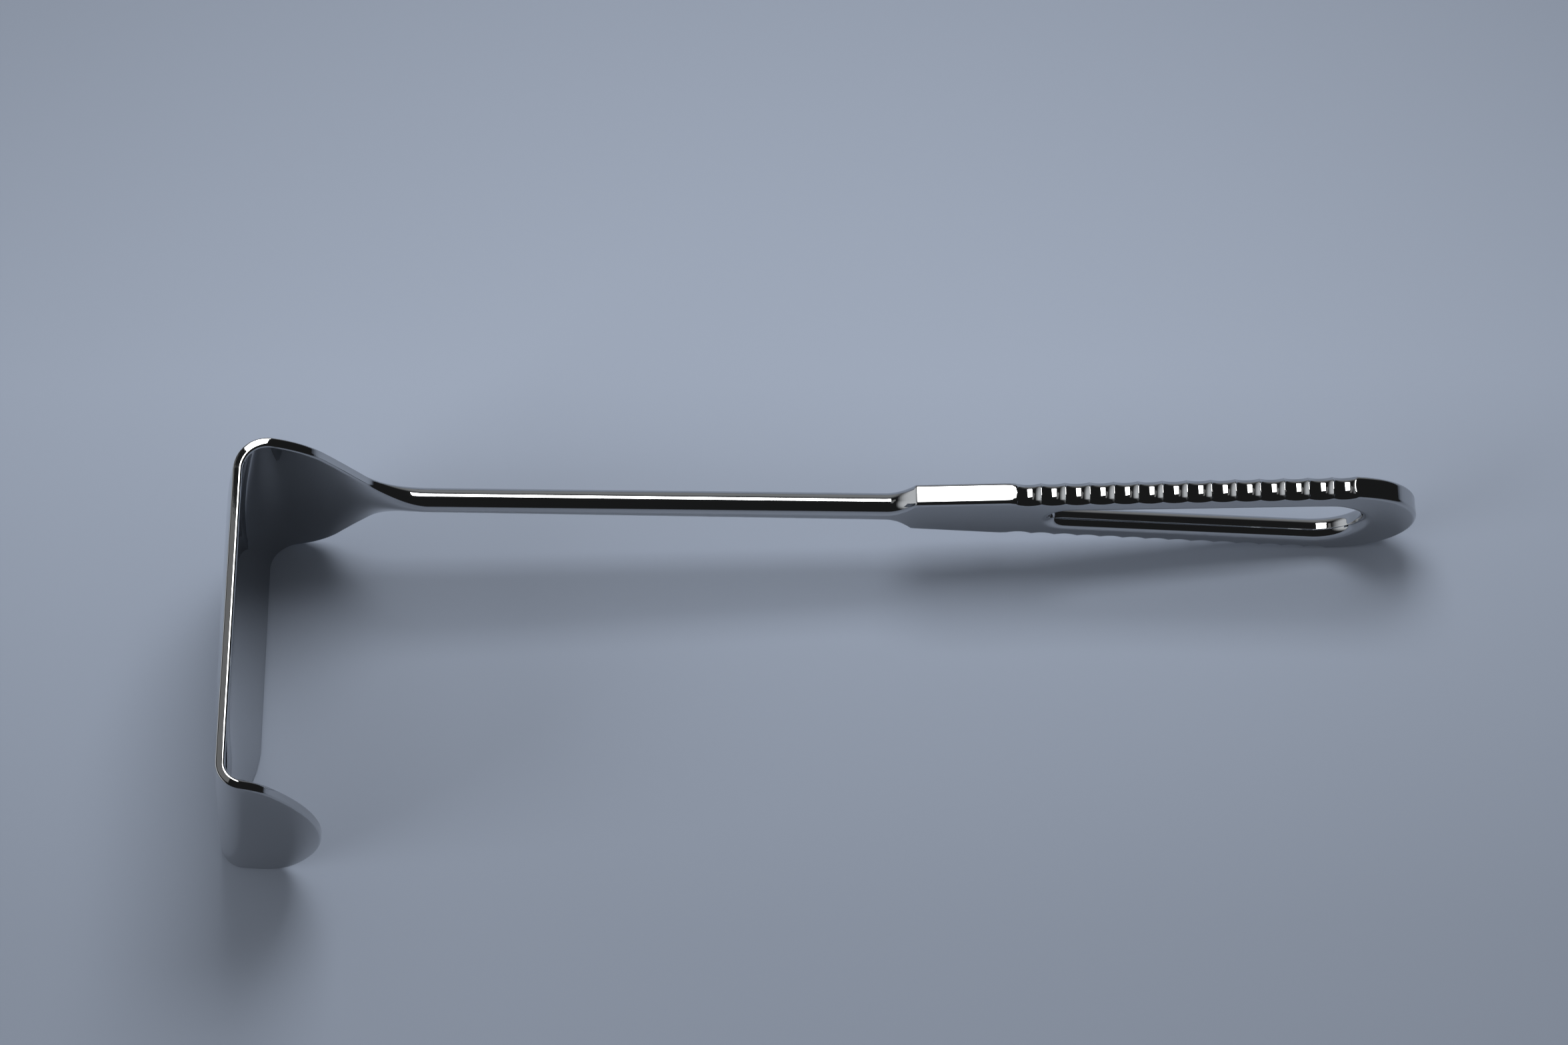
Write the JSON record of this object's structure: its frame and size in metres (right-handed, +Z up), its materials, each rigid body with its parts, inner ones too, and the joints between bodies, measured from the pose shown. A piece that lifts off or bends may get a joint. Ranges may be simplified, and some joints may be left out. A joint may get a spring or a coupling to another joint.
{
  "type": "handheld surgical retractor",
  "caption": "Polished steel hand-held retractor: wide dished blade with a turned lip, round shaft and a slotted, tapered flat handle with fluted edges.",
  "frame": {"origin": "bottom centre of the bounding box, on the surface the retractor lies on", "axes": "+X along the handle, away from the blade; +Y away from the lip; +Z up, across the blade's width"},
  "size_m": [0.2488, 0.0745, 0.0613],
  "materials": {
    "steel": "mirror-polished stainless steel"
  },
  "bodies": {
    "root": {"retractor": "steel"}
  },
  "joints": []
}
